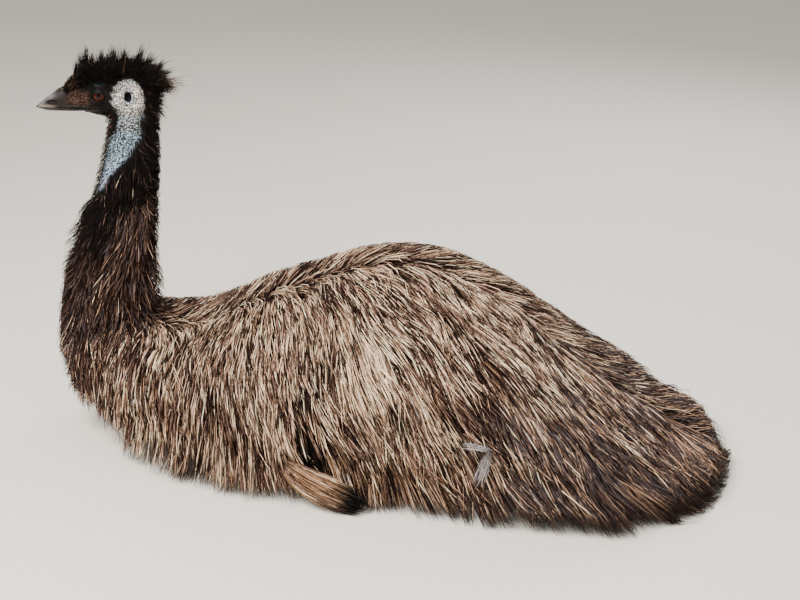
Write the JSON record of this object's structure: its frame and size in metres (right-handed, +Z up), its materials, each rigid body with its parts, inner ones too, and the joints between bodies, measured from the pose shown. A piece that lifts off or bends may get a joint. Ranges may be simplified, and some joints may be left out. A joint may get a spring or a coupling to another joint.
{
  "type": "emu",
  "caption": "Life-size still emu resting on folded legs, neck raised, with a shaggy streaked coat, dark crest and bare blue upper neck.",
  "frame": {"origin": "on the floor, under the middle of the bird's bounding box", "axes": "+Z up, +X towards the tail, so the bill points to -X, and the bird's left side faces -Y"},
  "size_m": [1.113, 0.467, 0.6355],
  "materials": {
    "body_plumage": "shaggy double-shafted feathers, dark grey-brown with pale straw streaks",
    "neck_plumage": "short shaggy feathers, brown-black",
    "dark_bristles": "black hair-like bristles over dark skin",
    "bare_skin": "bare pale blue skin with sparse black hairs",
    "ear_skin": "bare blue-white skin",
    "bill_horn": "satin grey-black horn",
    "eye": "wet, red-brown iris",
    "leg_scales": "dull grey-brown scales",
    "claw_horn": "satin black horn"
  },
  "bodies": {
    "root": {"head": "dark_bristles", "neck_upper": "bare_skin", "neck_lower": "neck_plumage", "torso": "body_plumage", "tail": "body_plumage", "wing_left": "body_plumage", "wing_right": "body_plumage", "thigh_left": "body_plumage", "thigh_right": "body_plumage", "bill_upper": "bill_horn", "bill_lower": "bill_horn", "eye_left": "eye", "eye_right": "eye", "ear_left": "ear_skin", "ear_right": "ear_skin", "shank_left": "leg_scales", "shank_right": "leg_scales", "foot_left": "leg_scales", "foot_right": "leg_scales", "claw_left_1": "claw_horn", "claw_left_2": "claw_horn", "claw_left_3": "claw_horn", "claw_right_1": "claw_horn", "claw_right_2": "claw_horn", "claw_right_3": "claw_horn"}
  },
  "joints": []
}
